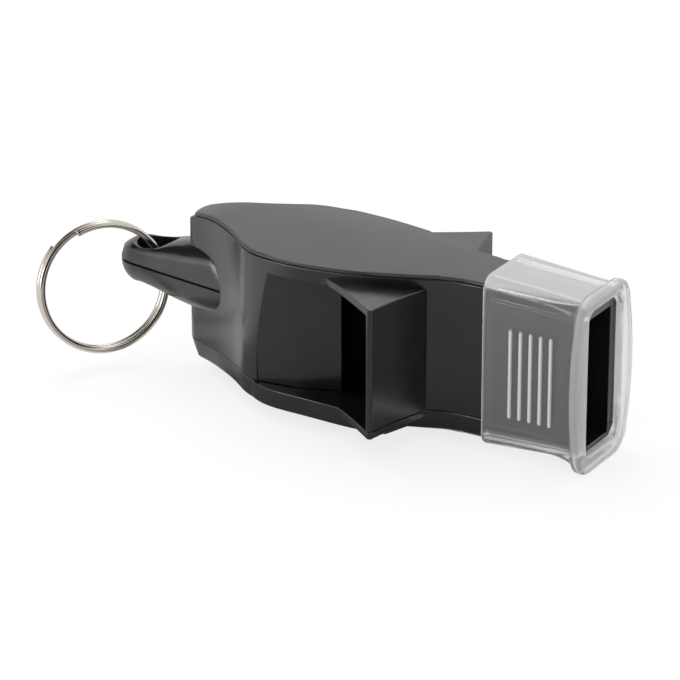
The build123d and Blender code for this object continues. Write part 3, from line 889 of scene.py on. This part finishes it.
class WHISTLE_OT_split_ring(Operator):
    """Builds the split ring as two close turns of wire"""

    bl_idname = "whistle.split_ring"
    bl_label = "Split ring"

    def execute(self, context):
        sizes = context.scene.whistle_sizes
        turns = sizes.ring_turns
        pitch = sizes.wire + TURN_GAP
        steps = round(STEPS_A_TURN * turns)
        mesh_edit = bmesh.new()
        start = Matrix.Translation((RING_RADIUS, 0, -pitch * turns / 2))
        upright = start @ Matrix.Rotation(math.pi / 2, 4, "X")
        bmesh.ops.create_circle(
            mesh_edit, segments=WIRE_SIDES, radius=sizes.wire / 2, cap_ends=False, matrix=upright)
        bmesh.ops.spin(
            mesh_edit, geom=all_of(mesh_edit), cent=(0, 0, 0), axis=(0, 0, 1),
            dvec=(0, 0, pitch * turns / steps), angle=2 * math.pi * turns, steps=steps, use_merge=False)
        ends = [edge for edge in mesh_edit.edges if edge.is_boundary]
        caps = bmesh.ops.holes_fill(mesh_edit, edges=ends, sides=WIRE_SIDES)["faces"]
        rims = [edge for cap in caps for edge in cap.edges]
        round_edges(mesh_edit, rims, sizes.wire * WIRE_END_ROUND, WIRE_END_STEPS)
        bmesh.ops.recalc_face_normals(mesh_edit, faces=mesh_edit.faces)
        self.draw_lines(mesh_edit)
        low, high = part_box("split_ring")
        centre = (low + high) / 2
        hinge = Vector(next(j["pos_m"] for j in frame["joints"] if j["name"] == "ring_swing"))
        turn = math.atan2(hinge.y - centre.y, hinge.x - centre.x)
        towards_hole = Matrix.Translation(centre) @ Matrix.Rotation(turn, 4, "Z")
        lean = Matrix.Rotation(math.pi / 2 - RING_LEAN, 4, "X") @ Matrix.Rotation(RING_SPLIT, 4, "Z")
        bmesh.ops.transform(mesh_edit, matrix=towards_hole @ lean, verts=mesh_edit.verts)
        nickel = drawn_nickel_wire(context.scene.whistle_colours)
        piece = new_piece("wire_ring", mesh_edit, nickel, "ring", "nickel_steel", "split_ring")
        shade_round(piece)
        return {"FINISHED"}

    def draw_lines(self, mesh_edit):
        """UV map in millimetres along the wire and round it."""
        layer = mesh_edit.loops.layers.uv.new("along_wire")
        for face in mesh_edit.faces:
            middle = face.calc_center_median()
            for loop in face.loops:
                spot = loop.vert.co
                base = math.atan2(middle.y, middle.x)
                angle = base + math.remainder(math.atan2(spot.y, spot.x) - base, 2 * math.pi)
                out = math.hypot(spot.x, spot.y) - RING_RADIUS
                loop[layer].uv = (angle * RING_RADIUS / MM, (out + abs(spot.z)) / MM)


# Stage

# Camera fitted to the photograph, with its aim moved right and up from the middle of the whistle
VIEW_AZIMUTH = math.radians(31.51)
VIEW_ELEVATION = math.radians(23.5)
VIEW_DISTANCE = 475 * MM
VIEW_SHIFT = (-2.318 * MM, -2.556 * MM)
LENS = 212.67
CLIP_START = 0.01
FLOOR_SIZE = 6.0
TENT_LIGHT = 0.75
# Grey cards on the floor that the upright walls mirror, with their places along and across
FLOOR_CARDS = {"near_card": (0.03, -0.064), "far_card": (-0.04, 0.064)}
FLOOR_CARD_SIZE = 0.12
FLOOR_CARD_LIFT = 0.2 * MM
FLOOR_CARD_GREY = 0.42
# Black cards: one behind the camera, which the ring's wire mirrors, and one above the tail lug
CARD_BLACK = 0.01
CAMERA_CARD_DISTANCE = 0.6
CAMERA_CARD_SIZE = 0.8
UPPER_CARD_PLACE = (-0.24, -0.05, 0.43)
UPPER_CARD_SIZE = 0.5
# Place, size and power of each lamp
LAMPS = {
    "key_light": ((-0.22, 0.2, 0.6), 0.5, 1.4),
    "front_light": ((0.5, -0.45, 0.35), 0.3, 0.3),
    "side_light": ((-0.34, -0.6, 0.14), 0.24, 0.8),
}


def turned_to(place, direction, axis):
    """A place, with an axis turned along a direction."""
    return Matrix.Translation(place) @ direction.to_track_quat(axis, "Y").to_matrix().to_4x4()


class WHISTLE_OT_stage(Operator):
    """Sets the floor, the soft studio light and the camera"""

    bl_idname = "whistle.stage"
    bl_label = "Stage"

    def execute(self, context):
        scene = context.scene
        scene.view_settings.view_transform = "Standard"
        right = Vector((math.cos(VIEW_AZIMUTH), math.sin(VIEW_AZIMUTH), 0))
        ahead = Vector((-math.sin(VIEW_AZIMUTH) * math.cos(VIEW_ELEVATION),
                        math.cos(VIEW_AZIMUTH) * math.cos(VIEW_ELEVATION), -math.sin(VIEW_ELEVATION)))
        up = right.cross(ahead)
        aim = Vector((0, 0, MID_HEIGHT)) + VIEW_SHIFT[0] * right + VIEW_SHIFT[1] * up
        self.camera(scene, aim, right, ahead, up)
        self.world(scene)
        self.floor(scene)
        for name, (x, y) in FLOOR_CARDS.items():
            place = Matrix.Translation((x, y, CAD_BOX[0][2] + FLOOR_CARD_LIFT))
            card = self.card(scene, name, place, FLOOR_CARD_SIZE, FLOOR_CARD_GREY)
            card.visible_transmission = y < 0
        behind = turned_to(aim - ahead * CAMERA_CARD_DISTANCE, ahead, "Z")
        self.card(scene, "black_card", behind, CAMERA_CARD_SIZE, CARD_BLACK)
        above = Vector(UPPER_CARD_PLACE)
        self.card(scene, "upper_card", turned_to(above, above, "Z"), UPPER_CARD_SIZE, CARD_BLACK)
        for name, (place, size, power) in LAMPS.items():
            self.lamp(scene, name, Vector(place), size, power)
        return {"FINISHED"}

    def camera(self, scene, aim, right, ahead, up):
        """Camera at the photograph's viewing angle."""
        data = bpy.data.cameras.new("camera")
        data.lens = LENS
        data.clip_start = CLIP_START
        camera = bpy.data.objects.new("camera", data)
        turn = Matrix((right, up, -ahead)).transposed().to_4x4()
        camera.matrix_world = Matrix.Translation(aim - ahead * VIEW_DISTANCE) @ turn
        scene.collection.objects.link(camera)
        scene.camera = camera

    def world(self, scene):
        """Even white light all round, and plain white where it is seen."""
        world = bpy.data.worlds.new("white_tent")
        world.use_nodes = True
        tree = world.node_tree
        tree.nodes.clear()
        light = add_node(tree, "ShaderNodeBackground", {"Strength": TENT_LIGHT})
        backdrop = add_node(tree, "ShaderNodeBackground", {"Strength": 1.0})
        for background in (light, backdrop):
            background.inputs["Color"].default_value = (1.0, 1.0, 1.0, 1.0)
        mixed = add_node(tree, "ShaderNodeMixShader", {"Fac": seen_rays(tree)})
        tree.links.new(light.outputs["Background"], mixed.inputs[1])
        tree.links.new(backdrop.outputs["Background"], mixed.inputs[2])
        output = add_node(tree, "ShaderNodeOutputWorld")
        tree.links.new(mixed.outputs["Shader"], output.inputs["Surface"])
        scene.world = world

    def floor(self, scene):
        """Floor under the lowest point of the whistle."""
        height = Matrix.Translation((0, 0, CAD_BOX[0][2]))
        self.sheet(scene, "floor", height, FLOOR_SIZE, pale_floor(scene.whistle_colours))

    def card(self, scene, name, place, size, grey):
        """Square card that only reflections and clear pieces show."""
        card = self.sheet(scene, name, place, size, matt_card(name, grey))
        card.visible_camera = False
        card.visible_diffuse = False
        card.visible_shadow = False
        return card

    def sheet(self, scene, name, place, size, material):
        """Square sheet of the stage, which isn't part of the whistle."""
        mesh_edit = bmesh.new()
        bmesh.ops.create_grid(mesh_edit, x_segments=1, y_segments=1, size=size / 2, matrix=place)
        mesh = bpy.data.meshes.new(name)
        mesh_edit.to_mesh(mesh)
        mesh_edit.free()
        mesh.materials.append(material)
        piece = bpy.data.objects.new(name, mesh)
        scene.collection.objects.link(piece)
        return piece

    def lamp(self, scene, name, place, size, power):
        """Soft square lamp that faces the whistle."""
        data = bpy.data.lights.new(name, "AREA")
        data.size = size
        data.energy = power
        lamp = bpy.data.objects.new(name, data)
        lamp.matrix_world = turned_to(place, -place, "-Z")
        scene.collection.objects.link(lamp)


# Panel and start

PIECES = (
    WHISTLE_OT_casing, WHISTLE_OT_tail_lug, WHISTLE_OT_bottom_cover, WHISTLE_OT_top_cover,
    WHISTLE_OT_mouth_grip, WHISTLE_OT_split_ring, WHISTLE_OT_stage,
)


class WHISTLE_PT_build(Panel):
    """Lists the pieces of the whistle and the stage"""

    bl_idname = "WHISTLE_PT_build"
    bl_label = "Sports whistle"
    bl_space_type = "VIEW_3D"
    bl_region_type = "UI"
    bl_category = "Whistle"

    def draw(self, context):
        for group in (context.scene.whistle_sizes, context.scene.whistle_colours):
            for name in type(group).__annotations__:
                self.layout.prop(group, name)
        for piece in PIECES:
            self.layout.operator(piece.bl_idname)


CLASSES = (WhistleSizes, WhistleColours) + PIECES + (WHISTLE_PT_build,)


def register():
    for kind in CLASSES:
        bpy.utils.register_class(kind)
    bpy.types.Scene.whistle_sizes = PointerProperty(type=WhistleSizes)
    bpy.types.Scene.whistle_colours = PointerProperty(type=WhistleColours)


def unregister():
    del bpy.types.Scene.whistle_colours
    del bpy.types.Scene.whistle_sizes
    for kind in reversed(CLASSES):
        bpy.utils.unregister_class(kind)


def main():
    """Builds every piece and the stage in order."""
    register()
    for piece in PIECES:
        group, name = piece.bl_idname.split(".")
        getattr(getattr(bpy.ops, group), name)()


if __name__ == "__main__":
    main()
